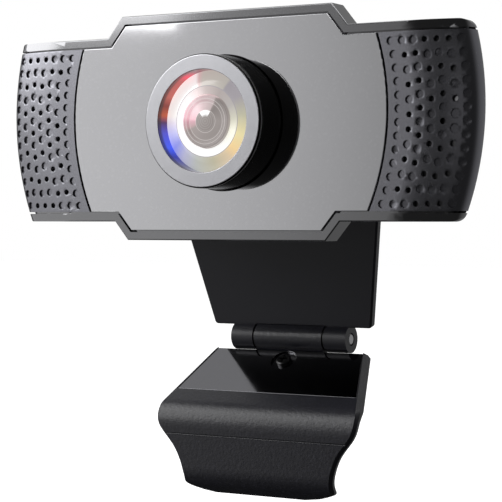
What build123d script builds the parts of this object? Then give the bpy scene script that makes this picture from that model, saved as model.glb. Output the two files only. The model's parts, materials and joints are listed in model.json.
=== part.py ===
from build123d import *
import os
from math import asin, cos, degrees, hypot, radians, sin, tan

# A clip-on webcam, in millimetres. +Z is up and the lens looks towards -Y. The origin is the middle
# of the rubber pad that rests on a screen's top edge.
os.makedirs("parts", exist_ok=True)

# Where the head and the clip stand
lens_height = 50.0      # optical axis above the origin
plate_front = -21.5     # y of the front plate's outer face
rest_slope = 37.5       # the rest face falls towards the front, degrees
arm_lean = 14.5         # the arm leans forward from upright, degrees

# Head outline, seen from the front, about the optical axis
head_half_width = 50.0
end_radius = 55.0       # the two ends are arcs
end_rise = 2.2          # height of the arcs' centre
end_corner = 2.2
top_mid = 20.75         # raised middle of the top edge
top_wing = 16.8
top_mid_half = 22.45    # half length of the raised middle
top_wing_half = 25.65   # where its chamfer meets the wing
bottom_mid = -21.7
bottom_wing = -18.2
bottom_mid_half = 21.2
bottom_wing_half = 24.1

# Head front: flat in the middle, curving back to the ends
bulge_length = 12.0     # how far in from the end the curve starts
bulge_radius = 37.0
nose_turn = 15.4        # slope, in degrees, where the tighter end curve takes over
rim = 1.5               # width of the frame's front border
seam = 0.35             # open line between the front pieces
plate_thick = 1.2
grille_thick = 0.9
floor_thick = 1.8
frame_depth = 4.6       # the frame meets the rear housing here
frame_wall = 3.2
edge_round = 0.25

# Head back
head_depth = 13.0
back_draft = 38.0       # degrees
housing_inset = 0.25
housing_wall = 1.5

# Grille holes
line_radius = 44.5      # the line between plate and grille is an arc
line_half = 33.5        # its distance from the middle
line_rise = 1.5
hole_columns = 7
hole_first = 2.05       # from the line to the first column
hole_column_pitch = 2.08
hole_rows = 13
hole_top = 13.4
hole_bottom = -15.1
hole_radius = 0.53
dimple_radius = 0.74
dimple_depth = 0.4
plain_columns = (1, 7)  # columns with dimples only
swapped_columns = (4, 5, 6)

# Lens, along the optical axis; a reach is counted forward from the plate's face
ring_lip = 9.35         # radius of the opening; ring and barrel are built outwards from it
sleeve_wall = 1.5
barrel_wall = 1.3
barrel_taper = 0.15     # how much wider the barrel's base is than its tip
barrel_reach = 6.5
flange_width = 1.6
flange_thick = 0.8
running_gap = 0.05
ring_reach = 7.62
ring_gap = 0.25
ring_chamfer = 0.25
sleeve_tail = -1.0
cone_rim_reach = 4.5    # where the trim cone meets the opening's wall
cone_ring_radius = 6.4
cone_ring_reach = 5.8
cone_gap = 0.2          # between the cone's hole and the lens
cone_thick = 0.9
cone_bow = 0.15         # how far its flank bulges
nose_radius = 4.75
nose_reach = 6.3
nose_tail = 3.3
cell_radius = 6.0
cell_tail = -3.4
element_radius = 4.3
retainer_inner = 3.85
retainer_thick = 0.3
element_back = 4.3
element_rise = 0.35     # height of the front glass's dome
stop_hole = 2.0
stop_thick = 0.4
cell_throat = 3.4
rear_glass_thick = 1.6
travel_room = 0.7       # free way for the lens cell, each way
holder_gap = 1.35       # between the holder and the ring's sleeve
holder_reach = 0.4
holder_base = 17.0
holder_base_thick = 2.0
holder_screw_x = 10.5
holder_ear = 2.2
filter_size = 7.0
filter_thick = 0.5
sensor_width = 6.4
sensor_height = 5.6
sensor_thick = 0.9

# Board and what is on it
board_half_width = 26.0
board_half_height = 10.5
board_depth = 8.0
board_thick = 1.2
board_screw_x = 22.5
board_screw_z = 8.0
board_boss = 2.0
chip_size = 8.0
chip_x = 17.5
plug_x = -18.0
chip_thick = 1.0
plug_width = 8.0
plug_height = 4.0
plug_thick = 1.9
housing_screw_x = 32.0
housing_screw_z = 6.8
case_boss = 2.4
boss_meet = 7.2         # depth where the frame's and the housing's bosses meet
head_middle = -0.7      # height of the wings' middle
mic_x = 41.0
mic_radius = 3.0
mic_thick = 2.5
boot_wall = 1.2
mesh_thick = 0.3
mic_port = 2.4
grommet_x = -37.0
grommet_radius = 3.0
grommet_flange = 4.0
grommet_stand = 2.2     # how far it stands out of the back
cord_bore = 1.8

# Tilt joint
tilt_along = 43.55       # tilt axis, along the arm from the clip hinge
tilt_behind = 1.6       # and behind the clip hinge, square to the arm
tilt_knuckle = 3.2
tilt_knuckle_width = 9.0
tilt_pin_radius = 1.5
lug_thick = 2.8
washer_gap = 0.4
washer_thick = 0.34
bracket_half = 13.0
bracket_height = 9.6
bracket_rise = 2.2
bracket_thick = 1.4
bracket_screw_x = 10.5

# Arm
arm_bottom = 2.4        # lower edge, along the arm from the clip hinge
arm_top = 38.5
arm_bottom_half = 17.5
arm_widening = 0.185    # growth of the half width for each millimetre along the arm
arm_front = 0.4         # front face, in front of the clip hinge's axis
arm_thick = 1.6
arm_bevel = 0.35
arm_corner = 6.0
arm_foot_corner = 0.7
cover_thick = 1.0
cover_inset = 0.6

# Clip hinge, placed along and above the rest face
hinge_back = 9.9
hinge_up = 3.6
knuckle_radius = 2.7
knuckle_half = 12.8     # half length of the whole barrel
knuckle_split = 7.5     # half length of the middle knuckle
knuckle_gap = 0.45
knuckle_room = 0.12     # between the arm's lower edge and the leaf's knuckle
hinge_pin_radius = 1.2
pin_dome = 0.3

# Leaf: a bent sheet with a flat top, a rolled nose and a chin
pad_thick = 1.4
leaf_thick = 1.4
leaf_rear = 7.05        # rear edge, along the rest face
leaf_flat = 15.6
leaf_rear_half = 16.9
shoulder_half = 21.9
shoulder_top = -3.4
shoulder_low = -7.2
waist_half = 18.3
waist_drop = -12.0
chin_half = 16.4
chin_drop = -17.9
chin_flat = 10.4        # half length of the flat bottom edge
chin_bottom = -21.1
roll_radius = 6.0
roll_turn = 58.0
chin_length = 7.6
chin_radius = 8.0
chin_turn = 40.0
crease_place = 1.2      # crease line, along the chin from the roll
crease_size = 0.4
leaf_bevel = 0.6
border = 0.7            # side border of the leaf around its top plate
inlay_length = 12.6
inlay_thick = 0.7
inlay_gap = 0.15
inlay_drop = 0.1
recess_radius = 2.6
recess_from_rear = 2.9
recess_depth = 0.45
pad_half_width = 13.0
pad_grooves = 4
chin_pad_half_width = 11.0

# Screws, as (shank radius, head radius, head height); their cross is given as shares of the head
small_screw = (0.8, 1.5, 0.9)
case_screw = (1.0, 1.85, 1.2)
board_screw_length = 4.4
holder_screw_length = 2.8
case_screw_length = 6.2
cover_screw_length = 2.1
leaf_screw_length = 0.8
cross_length = 1.3
cross_width = 0.25
cross_depth = 0.6
case_counterbore = 2.4  # how deep the case screws' heads sit in the back
screw_room = 0.2        # added to the radius of clearance holes

# Planes
slope_cos = cos(radians(rest_slope))
slope_sin = sin(radians(rest_slope))
lean_cos = cos(radians(arm_lean))
lean_sin = sin(radians(arm_lean))
leaf_top = pad_thick + leaf_thick
lens_origin = (0, plate_front, lens_height)
hinge_point = (
    0,
    hinge_back * slope_cos - hinge_up * slope_sin,
    hinge_back * slope_sin + hinge_up * slope_cos,
)
arm_middle = -tilt_behind
tilt_point = (
    0,
    hinge_point[1] - tilt_along * lean_sin - arm_middle * lean_cos,
    hinge_point[2] + tilt_along * lean_cos - arm_middle * lean_sin,
)
tilt_depth = tilt_point[1] - plate_front
barrel_bore = ring_lip + sleeve_wall + running_gap
barrel_tip_radius = barrel_bore + barrel_wall
barrel_base_radius = barrel_tip_radius + barrel_taper
flange_radius = barrel_base_radius + flange_width
holder_radius = ring_lip - holder_gap
cone_hole = nose_radius + cone_gap
face = Plane(origin=lens_origin, x_dir=(1, 0, 0), z_dir=(0, -1, 0))
lens_section = Plane(origin=lens_origin, x_dir=(1, 0, 0), z_dir=(0, 0, -1))
lens_axis = Axis(lens_origin, (0, -1, 0))
front = Plane(origin=(0, 0, 0), x_dir=(1, 0, 0), z_dir=(0, -1, 0))
rest = Plane(origin=(0, 0, 0), x_dir=(1, 0, 0), z_dir=(0, -slope_sin, slope_cos))
side = Plane(origin=(0, 0, 0), x_dir=(0, slope_cos, slope_sin), z_dir=(1, 0, 0))
arm_plane = Plane(origin=hinge_point, x_dir=(1, 0, 0), z_dir=(0, -lean_cos, -lean_sin))
arm_side = Plane(origin=hinge_point, x_dir=(0, -lean_sin, lean_cos), z_dir=(1, 0, 0))
hinge_side = Plane(origin=hinge_point, x_dir=(0, 1, 0), z_dir=(1, 0, 0))
tilt_side = Plane(origin=tilt_point, x_dir=(0, 1, 0), z_dir=(1, 0, 0))
far = 60.0              # longer than any piece, for cuts that run right through
near = 0.01             # close enough to count as lying on a surface


def depth(distance):
    """The plane parallel to the front plate, this far behind its face."""
    return face.offset(-distance)


def save(part, name):
    part.label = name
    export_step(part, f"parts/{name}.step")


def both_sides(x, z):
    return [(x, z), (-x, z)]


def screws(seat, places, size, length):
    """Screws with their heads standing on the seat plane at these places."""
    shank, head, height = size
    with BuildPart() as group:
        with BuildSketch(seat):
            with Locations(*places):
                Circle(head)
        extrude(amount=height)
        chamfer(group.faces().sort_by(Axis(seat.origin, seat.z_dir))[-len(places):].edges(), height / 4)
        with BuildSketch(seat):
            with Locations(*places):
                Circle(shank)
        extrude(amount=-length)
        with BuildSketch(seat.offset(height)):
            with Locations(*places):
                Rectangle(cross_length * head, cross_width * head)
                Rectangle(cross_width * head, cross_length * head)
        extrude(amount=-cross_depth * height, mode=Mode.SUBTRACT)
    return group.part


# Head outline and the curved ends

end_centre_x = head_half_width - end_radius
top_end_x = end_centre_x + (end_radius**2 - (top_wing - end_rise) ** 2) ** 0.5
bottom_end_x = end_centre_x + (end_radius**2 - (bottom_wing - end_rise) ** 2) ** 0.5


def head_outline(inset=0.0):
    """The head's stepped outline, drawn inwards by inset."""
    with BuildSketch(Plane.XY) as outline:
        with BuildLine():
            Polyline(
                (0, top_mid),
                (top_mid_half, top_mid),
                (top_wing_half, top_wing),
                (top_end_x, top_wing),
            )
            ThreePointArc((top_end_x, top_wing), (head_half_width, end_rise), (bottom_end_x, bottom_wing))
            Polyline(
                (bottom_end_x, bottom_wing),
                (bottom_wing_half, bottom_wing),
                (bottom_mid_half, bottom_mid),
                (0, bottom_mid),
            )
            mirror(about=Plane.YZ)
        make_face()
        if inset:
            offset(amount=-inset, kind=Kind.INTERSECTION)
        fillet(sorted(outline.vertices(), key=lambda corner: abs(corner.X))[-4:], end_corner)
    return outline.sketch


nose_sin = sin(radians(nose_turn))
nose_cos = cos(radians(nose_turn))
bulge_start = end_radius - bulge_length
nose_start = bulge_start + bulge_radius * nose_sin
tip_radius = (end_radius - nose_start) / (1 - nose_sin)
sweep_half = 42.0       # half angle of the swept ends
sweep_inner = 30.0      # inner radius of the swept ends
sweep_cos = cos(radians(sweep_half))
sweep_sin = sin(radians(sweep_half))
end_origin = (end_centre_x, plate_front, lens_height + end_rise)
end_plane = Plane(origin=end_origin, x_dir=(sweep_cos, 0, -sweep_sin), z_dir=(-sweep_sin, 0, -sweep_cos))
end_axis = Axis(end_origin, (0, -1, 0))


def end_surface(radius):
    """Depth and slope of the curved front, this far from the end's axis."""
    if radius <= bulge_start:
        return 0.0, 0.0
    if radius <= nose_start:
        slope = asin((radius - bulge_start) / bulge_radius)
        return bulge_radius * (1 - cos(slope)), slope
    slope = asin(nose_sin + (radius - nose_start) / tip_radius)
    nose_depth = bulge_radius * (1 - nose_cos)
    return nose_depth + tip_radius * (nose_cos - cos(slope)), slope


def in_front_of_end(shift):
    """The space in front of the curved ends, moved into the head by shift."""
    with BuildPart() as space:
        with BuildSketch(end_plane):
            with BuildLine():
                flat = Line((sweep_inner, -shift), (bulge_start, -shift))
                bulge = JernArc(flat @ 1, flat % 1, bulge_radius - shift, -nose_turn)
                nose = JernArc(bulge @ 1, bulge % 1, tip_radius - shift, nose_turn - 90)
                Polyline(
                    nose @ 1,
                    (end_radius - shift, -frame_depth),
                    (end_radius + rim, -frame_depth),
                    (end_radius + rim, rim),
                    (sweep_inner, rim),
                    (sweep_inner, -shift),
                )
            make_face()
        revolve(axis=end_axis, revolution_arc=2 * sweep_half)
        mirror(about=Plane.YZ)
    return space.part


def wing_band(gap):
    """The height between the wings' borders, less a gap, right through the head."""
    with BuildPart() as band:
        with BuildSketch(depth(far / 2)):
            with Locations((0, (top_wing + bottom_wing) / 2)):
                Rectangle(2 * far, top_wing - bottom_wing - 2 * (rim + gap))
        extrude(amount=far)
    return band.part


housing_screw_places = both_sides(housing_screw_x, head_middle + housing_screw_z)
housing_screw_places += both_sides(housing_screw_x, head_middle - housing_screw_z)
board_screw_places = both_sides(board_screw_x, board_screw_z) + both_sides(board_screw_x, -board_screw_z)
mic_places = both_sides(mic_x, head_middle)
floor_back = plate_thick + floor_thick

# front_frame: a tray with the borders, the floor behind plate and grilles, and the screw bosses
with BuildPart() as end_pocket:
    add(in_front_of_end(plate_thick))
    add(wing_band(0), mode=Mode.INTERSECT)

with BuildPart() as front_frame:
    with BuildSketch(depth(frame_depth)):
        add(head_outline())
    extrude(amount=frame_depth)
    fillet(front_frame.faces().sort_by(Axis.Y)[0].edges(), edge_round)
    add(in_front_of_end(0), mode=Mode.SUBTRACT)
    with BuildSketch(depth(plate_thick)):
        add(head_outline(rim))
    extrude(amount=far, mode=Mode.SUBTRACT)
    add(end_pocket.part, mode=Mode.SUBTRACT)
    with BuildSketch(depth(floor_back)):
        add(head_outline(frame_wall))
    extrude(amount=-far, mode=Mode.SUBTRACT)
    with BuildSketch(depth(floor_back)):
        with Locations(*board_screw_places):
            Circle(board_boss)
    extrude(amount=floor_back - board_depth)
    with BuildSketch(depth(floor_back)):
        with Locations(*housing_screw_places):
            Circle(case_boss)
    extrude(amount=floor_back - boss_meet)
    with BuildSketch(depth(board_depth)):
        with Locations(*board_screw_places):
            Circle(small_screw[0])
    extrude(amount=board_depth - floor_back, mode=Mode.SUBTRACT)
    with BuildSketch(depth(boss_meet)):
        with Locations(*housing_screw_places):
            Circle(case_screw[0])
    extrude(amount=boss_meet - floor_back, mode=Mode.SUBTRACT)
    with BuildSketch(depth(floor_back)):
        Circle(barrel_base_radius + edge_round)
        with Locations(*mic_places):
            Circle(mic_port)
    extrude(amount=floor_back, mode=Mode.SUBTRACT)
    with BuildSketch(depth(plate_thick + flange_thick)):
        Circle(flange_radius + running_gap)
    extrude(amount=flange_thick, mode=Mode.SUBTRACT)
save(front_frame.part, "front_frame")

# front_plate: the flat middle, between the two grilles
with BuildPart() as front_plate:
    with BuildSketch(depth(plate_thick)):
        add(head_outline(rim + seam))
        with Locations((line_half - line_radius, line_rise)):
            Circle(line_radius - seam / 2, mode=Mode.INTERSECT)
        with Locations((line_radius - line_half, line_rise)):
            Circle(line_radius - seam / 2, mode=Mode.INTERSECT)
        Circle(barrel_base_radius + seam / 2, mode=Mode.SUBTRACT)
    extrude(amount=plate_thick)
    fillet(front_plate.faces().sort_by(Axis.Y)[0].edges(), edge_round / 2)
save(front_plate.part, "front_plate")

# grille_right, grille_left: thin shells with slanted columns of holes and dimples
through_places = []
dimple_places = []
for column in range(1, hole_columns + 1):
    column_x = line_half + hole_first + (column - 1) * hole_column_pitch
    blend = (column_x - line_half) / (head_half_width - line_half)
    column_centre_x = (1 - blend) * (line_half - line_radius) + blend * end_centre_x
    column_centre_z = (1 - blend) * line_rise + blend * end_rise
    column_radius = column_x - column_centre_x
    rows = hole_rows - 1 + column % 2
    for row in range(rows):
        hole_z = hole_bottom + (hole_top - hole_bottom) * row / (rows - 1)
        hole_x = column_centre_x + (column_radius**2 - (hole_z - column_centre_z) ** 2) ** 0.5
        distance = hypot(hole_x - end_centre_x, hole_z - end_rise)
        hole_depth, hole_slope = end_surface(distance)
        outward_x = sin(hole_slope) * (hole_x - end_centre_x) / distance
        outward_z = sin(hole_slope) * (hole_z - end_rise) / distance
        place = Plane(
            origin=(hole_x, plate_front + hole_depth, lens_height + hole_z),
            z_dir=(outward_x, -cos(hole_slope), outward_z),
        )
        index = min(row, rows - 1 - row)
        pierced = (index % 2 == 1) != (column in swapped_columns)
        if pierced and column not in plain_columns:
            through_places.append(place)
        else:
            dimple_places.append(place)

with BuildPart() as grille_right:
    add(in_front_of_end(grille_thick))
    add(in_front_of_end(0), mode=Mode.SUBTRACT)
    with BuildSketch(depth(frame_depth)):
        add(head_outline())
        with Locations((far, 0)):
            Rectangle(2 * far, 2 * far, mode=Mode.INTERSECT)
        with Locations((line_half - line_radius, line_rise)):
            Circle(line_radius + seam / 2, mode=Mode.SUBTRACT)
    extrude(amount=far, mode=Mode.INTERSECT)
    add(wing_band(seam), mode=Mode.INTERSECT)
    with Locations(*through_places):
        Cylinder(hole_radius, 4 * grille_thick, mode=Mode.SUBTRACT)
    with Locations(*dimple_places):
        Cylinder(dimple_radius, 2 * dimple_depth, mode=Mode.SUBTRACT)
save(grille_right.part, "grille_right")

with BuildPart() as grille_left:
    mirror(grille_right.part, about=Plane.YZ)
save(grille_left.part, "grille_left")

# dust_mesh, mic_boot and mic, one set behind each grille
for name, place in (("right", mic_places[0]), ("left", mic_places[1])):
    with BuildPart() as dust_mesh:
        with BuildSketch(depth(floor_back + mesh_thick)):
            with Locations(place):
                Circle(mic_radius + boot_wall)
        extrude(amount=mesh_thick)
    save(dust_mesh.part, f"dust_mesh_{name}")

    with BuildPart() as mic_boot:
        with BuildSketch(depth(floor_back + mesh_thick)):
            with Locations(place):
                Circle(mic_radius + boot_wall)
                Circle(mic_radius, mode=Mode.SUBTRACT)
        extrude(amount=-mic_thick)
        chamfer(mic_boot.edges().group_by(Axis.Y)[-1], boot_wall / 4)
    save(mic_boot.part, f"mic_boot_{name}")

    with BuildPart() as mic:
        with BuildSketch(depth(floor_back + mesh_thick)):
            with Locations(place):
                Circle(mic_radius)
        extrude(amount=-mic_thick)
        with BuildSketch(depth(floor_back + mesh_thick)):
            with Locations(place):
                Circle(mic_radius / 4)
        extrude(amount=-mic_thick / 2, mode=Mode.SUBTRACT)
    save(mic.part, f"mic_{name}")

# lens_barrel: the fixed black tube, held by its flange between plate and frame
with BuildPart() as lens_barrel:
    with BuildSketch(lens_section):
        with BuildLine():
            Polyline(
                (barrel_bore, -plate_thick - flange_thick),
                (flange_radius, -plate_thick - flange_thick),
                (flange_radius, -plate_thick),
                (barrel_base_radius, -plate_thick),
                (barrel_base_radius, 0),
                (barrel_tip_radius, barrel_reach),
                (barrel_bore, barrel_reach),
                close=True,
            )
        make_face()
    revolve(axis=lens_axis)
    chamfer(lens_barrel.faces().sort_by(Axis.Y)[0].outer_wire().edges(), ring_chamfer / 2)
save(lens_barrel.part, "lens_barrel")

# focus_ring: turned by hand; its sleeve runs in the barrel
ring_back = barrel_reach + ring_gap
with BuildPart() as focus_ring:
    with BuildSketch(lens_section):
        with BuildLine():
            Polyline(
                (ring_lip, ring_reach),
                (barrel_tip_radius - ring_chamfer, ring_reach),
                (barrel_tip_radius, ring_reach - ring_chamfer),
                (barrel_tip_radius, ring_back),
                (barrel_bore - running_gap, ring_back),
                (barrel_bore - running_gap, sleeve_tail),
                (ring_lip, sleeve_tail),
                close=True,
            )
        make_face()
    revolve(axis=lens_axis)
save(focus_ring.part, "focus_ring")

# trim_cone: dished trim inside the focus ring, rising to a flat ring around the lens
with BuildPart() as trim_cone:
    with BuildSketch(lens_section):
        with BuildLine():
            ThreePointArc(
                (ring_lip, cone_rim_reach),
                (
                    (ring_lip + cone_ring_radius) / 2 + cone_bow,
                    (cone_rim_reach + cone_ring_reach) / 2 + cone_bow,
                ),
                (cone_ring_radius, cone_ring_reach),
            )
            Polyline(
                (cone_ring_radius, cone_ring_reach),
                (cone_hole, cone_ring_reach),
                (cone_hole, cone_ring_reach - cone_thick),
                (cone_ring_radius, cone_ring_reach - cone_thick),
                (ring_lip, cone_rim_reach - cone_thick),
                (ring_lip, cone_rim_reach),
            )
        make_face()
    revolve(axis=lens_axis)
save(trim_cone.part, "trim_cone")

# lens_cell: slides in the holder; carries the glass
with BuildPart() as lens_cell:
    with BuildSketch(lens_section):
        with BuildLine():
            Polyline(
                (element_radius, nose_reach),
                (nose_radius, nose_reach),
                (nose_radius, nose_tail),
                (cell_radius, nose_tail),
                (cell_radius, cell_tail),
                (element_radius, cell_tail),
                (element_radius, cell_tail + rear_glass_thick),
                (cell_throat, cell_tail + rear_glass_thick),
                (cell_throat, element_back - stop_thick),
                (element_radius, element_back - stop_thick),
                close=True,
            )
        make_face()
    revolve(axis=lens_axis)
    chamfer(lens_cell.faces().sort_by(Axis.Y)[0].outer_wire().edges(), retainer_thick / 3)
save(lens_cell.part, "lens_cell")

# cell_retainer: thin ring that holds the front glass
glass_front = nose_reach - retainer_thick
with BuildPart() as cell_retainer:
    with BuildSketch(depth(-glass_front)):
        Circle(element_radius)
        Circle(retainer_inner, mode=Mode.SUBTRACT)
    extrude(amount=retainer_thick)
save(cell_retainer.part, "cell_retainer")

# front_element: glass with a domed front
with BuildPart() as front_element:
    with BuildSketch(lens_section):
        with BuildLine():
            ThreePointArc(
                (-retainer_inner, glass_front),
                (0, glass_front + element_rise),
                (retainer_inner, glass_front),
            )
            Polyline(
                (retainer_inner, glass_front),
                (element_radius, glass_front),
                (element_radius, element_back),
                (-element_radius, element_back),
                (-element_radius, glass_front),
                (-retainer_inner, glass_front),
            )
        make_face()
        with Locations((far / 2, 0)):
            Rectangle(far, far, mode=Mode.INTERSECT)
    revolve(axis=lens_axis)
save(front_element.part, "front_element")

# aperture_stop: the plate with the round opening behind the front glass
with BuildPart() as aperture_stop:
    with BuildSketch(depth(-element_back)):
        Circle(element_radius)
        Circle(stop_hole, mode=Mode.SUBTRACT)
    extrude(amount=-stop_thick)
save(aperture_stop.part, "aperture_stop")

# rear_element
with BuildPart() as rear_element:
    with BuildSketch(depth(-cell_tail)):
        Circle(element_radius)
    extrude(amount=rear_glass_thick)
save(rear_element.part, "rear_element")

# lens_holder: fixed tube on the board, with two screw ears
filter_depth = filter_thick - cell_tail + travel_room + sensor_thick
with BuildPart() as lens_holder:
    with BuildSketch(depth(board_depth)):
        Rectangle(holder_base, holder_base)
        with Locations(*both_sides(holder_screw_x, 0)):
            Circle(holder_ear)
    extrude(amount=holder_base_thick)
    with BuildSketch(depth(board_depth)):
        Circle(holder_radius)
    extrude(amount=board_depth + holder_reach)
    with BuildSketch(depth(filter_depth)):
        Circle(cell_radius + running_gap)
    extrude(amount=far, mode=Mode.SUBTRACT)
    with BuildSketch(depth(board_depth)):
        Rectangle(sensor_width + screw_room, sensor_height + screw_room)
    extrude(amount=holder_base, mode=Mode.SUBTRACT)
    with BuildSketch(depth(board_depth)):
        with Locations(*both_sides(holder_screw_x, 0)):
            Circle(small_screw[0])
    extrude(amount=holder_base_thick, mode=Mode.SUBTRACT)
save(lens_holder.part, "lens_holder")

# ir_filter: square glass on the shelf at the foot of the holder's bore
with BuildPart() as ir_filter:
    with BuildSketch(depth(filter_depth)):
        Rectangle(filter_size, filter_size)
    extrude(amount=filter_thick)
save(ir_filter.part, "ir_filter")

# main_board
with BuildPart() as main_board:
    with BuildSketch(depth(board_depth + board_thick)):
        RectangleRounded(2 * board_half_width, 2 * board_half_height, board_boss)
        with Locations(*board_screw_places, *both_sides(holder_screw_x, 0)):
            Circle(small_screw[0] + screw_room / 2, mode=Mode.SUBTRACT)
    extrude(amount=board_thick)
save(main_board.part, "main_board")

# image_sensor: on the front of the board
with BuildPart() as image_sensor:
    with BuildSketch(depth(board_depth)):
        Rectangle(sensor_width, sensor_height)
    extrude(amount=sensor_thick)
save(image_sensor.part, "image_sensor")

# image_processor and cable_connector: on the back of the board
board_back = depth(board_depth + board_thick)
with BuildPart() as image_processor:
    with BuildSketch(board_back):
        with Locations((chip_x, 0)):
            Rectangle(chip_size, chip_size)
    extrude(amount=-chip_thick)
    chamfer(image_processor.edges().group_by(Axis.Y)[-1], chip_thick / 8)
save(image_processor.part, "image_processor")

with BuildPart() as cable_connector:
    with BuildSketch(board_back):
        with Locations((plug_x, 0)):
            Rectangle(plug_width, plug_height)
    extrude(amount=-plug_thick)
    with BuildSketch(Plane.YZ.offset(plug_x - plug_width / 2)):
        with Locations((plate_front + board_depth + board_thick + plug_thick / 2, lens_height)):
            Rectangle(plug_thick / 2, plug_height - plug_thick / 2)
    extrude(amount=plug_width / 2, mode=Mode.SUBTRACT)
save(cable_connector.part, "cable_connector")

# Screws of the board and the holder, all driven from behind
board_seat = Plane(origin=board_back.origin, x_dir=(1, 0, 0), z_dir=(0, 1, 0))
with BuildPart() as board_screws:
    add(screws(board_seat, board_screw_places, small_screw, board_screw_length))
save(board_screws.part, "board_screws")

with BuildPart() as holder_screws:
    add(screws(board_seat, both_sides(holder_screw_x, 0), small_screw, holder_screw_length))
save(holder_screws.part, "holder_screws")


def housing_body(inset, back):
    """The back's tapered body, drawn inwards by inset and closed at this depth."""
    draft = tan(radians(back_draft)) * (back - frame_depth)
    with BuildPart() as body:
        with BuildSketch(depth(frame_depth)):
            add(head_outline(housing_inset + inset))
        with BuildSketch(depth(back)):
            add(head_outline(housing_inset + inset + draft))
        loft(ruled=True)
    return body.part


# rear_housing: the hollow back, with the case bosses and the cable's grommet hole
seat_depth = head_depth - case_counterbore
with BuildPart() as rear_housing:
    add(housing_body(0, head_depth))
    fillet(rear_housing.faces().sort_by(Axis.Y)[-1].edges(), 4 * edge_round)
    add(housing_body(housing_wall, head_depth - housing_wall), mode=Mode.SUBTRACT)
    with BuildSketch(depth(boss_meet)):
        with Locations(*housing_screw_places):
            Circle(case_boss)
    extrude(amount=boss_meet - head_depth)
    with BuildSketch(depth(head_depth)):
        with Locations(*housing_screw_places):
            Circle(case_screw[0] + screw_room)
    extrude(amount=head_depth, mode=Mode.SUBTRACT)
    with BuildSketch(depth(head_depth)):
        with Locations(*housing_screw_places):
            Circle(case_screw[1] + screw_room)
    extrude(amount=head_depth - seat_depth, mode=Mode.SUBTRACT)
    with BuildSketch(depth(head_depth)):
        with Locations((grommet_x, head_middle)):
            Circle(grommet_radius)
        with Locations(*both_sides(bracket_screw_x, bracket_rise)):
            Circle(small_screw[0])
    extrude(amount=2 * housing_wall, mode=Mode.SUBTRACT)
save(rear_housing.part, "rear_housing")

case_seat = Plane(origin=depth(seat_depth).origin, x_dir=(1, 0, 0), z_dir=(0, 1, 0))
with BuildPart() as housing_screws:
    add(screws(case_seat, [(x, -z) for x, z in housing_screw_places], case_screw, case_screw_length))
save(housing_screws.part, "housing_screws")

# cable_grommet: rubber bush in the back; its bore is the cable's outlet
with BuildPart() as cable_grommet:
    with BuildSketch(depth(head_depth + grommet_stand)):
        with Locations((grommet_x, head_middle)):
            Circle(grommet_flange)
    extrude(amount=grommet_stand)
    chamfer(cable_grommet.edges().group_by(Axis.Y)[-1], grommet_stand / 3)
    with BuildSketch(depth(head_depth)):
        with Locations((grommet_x, head_middle)):
            Circle(grommet_radius)
    extrude(amount=2 * housing_wall)
    with BuildSketch(depth(head_depth + grommet_stand)):
        with Locations((grommet_x, head_middle)):
            Circle(cord_bore)
    extrude(amount=far, mode=Mode.SUBTRACT)
save(cable_grommet.part, "cable_grommet")

# tilt_bracket: plate on the back with two lugs around the arm's knuckle
lug_start = tilt_knuckle_width / 2 + washer_gap
with BuildPart() as tilt_bracket:
    with BuildSketch(depth(head_depth + bracket_thick)):
        with Locations((0, bracket_rise)):
            RectangleRounded(2 * bracket_half, bracket_height, tilt_knuckle / 2)
        with Locations(*both_sides(bracket_screw_x, bracket_rise)):
            Circle(small_screw[0] + screw_room / 2, mode=Mode.SUBTRACT)
    extrude(amount=bracket_thick)
    with BuildSketch(tilt_side.offset(-lug_start - lug_thick), tilt_side.offset(lug_start)):
        Circle(tilt_knuckle)
        with Locations(((head_depth - tilt_depth) / 2, 0)):
            Rectangle(tilt_depth - head_depth, 2 * tilt_knuckle)
    extrude(amount=lug_thick)
    with BuildSketch(tilt_side):
        Circle(tilt_pin_radius + running_gap)
    extrude(amount=far, both=True, mode=Mode.SUBTRACT)
save(tilt_bracket.part, "tilt_bracket")

bracket_seat = Plane(origin=depth(head_depth + bracket_thick).origin, x_dir=(1, 0, 0), z_dir=(0, 1, 0))
with BuildPart() as bracket_screws:
    add(screws(bracket_seat, both_sides(bracket_screw_x, -bracket_rise), small_screw, holder_screw_length))
save(bracket_screws.part, "bracket_screws")

# tilt_pin: tight in the arm, free in the bracket
with BuildPart() as tilt_pin:
    with BuildSketch(tilt_side):
        Circle(tilt_pin_radius)
    extrude(amount=lug_start + lug_thick, both=True)
    chamfer(tilt_pin.faces().filter_by(Axis.X).edges(), pin_dome)
save(tilt_pin.part, "tilt_pin")

with BuildPart() as tilt_washers:
    half_width = tilt_knuckle_width / 2
    with BuildSketch(tilt_side.offset(half_width), tilt_side.offset(-half_width - washer_thick)):
        Circle(tilt_knuckle - edge_round)
        Circle(tilt_pin_radius, mode=Mode.SUBTRACT)
    extrude(amount=washer_thick)
save(tilt_washers.part, "tilt_washers")


def arm_outline(inset, bottom, top):
    """The arm's spreading outline between two heights along the arm, drawn inwards by inset."""
    low_half = arm_bottom_half + arm_widening * (bottom - arm_bottom) - inset
    high_half = arm_bottom_half + arm_widening * (top - arm_bottom) - inset
    with BuildSketch(Plane.XY) as outline:
        Polygon((-low_half, bottom), (low_half, bottom), (high_half, top), (-high_half, top), align=None)
        fillet(outline.vertices().group_by(Axis.Y)[-1], arm_corner)
        fillet(outline.vertices().group_by(Axis.Y)[0], arm_foot_corner)
    return outline.sketch


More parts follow.
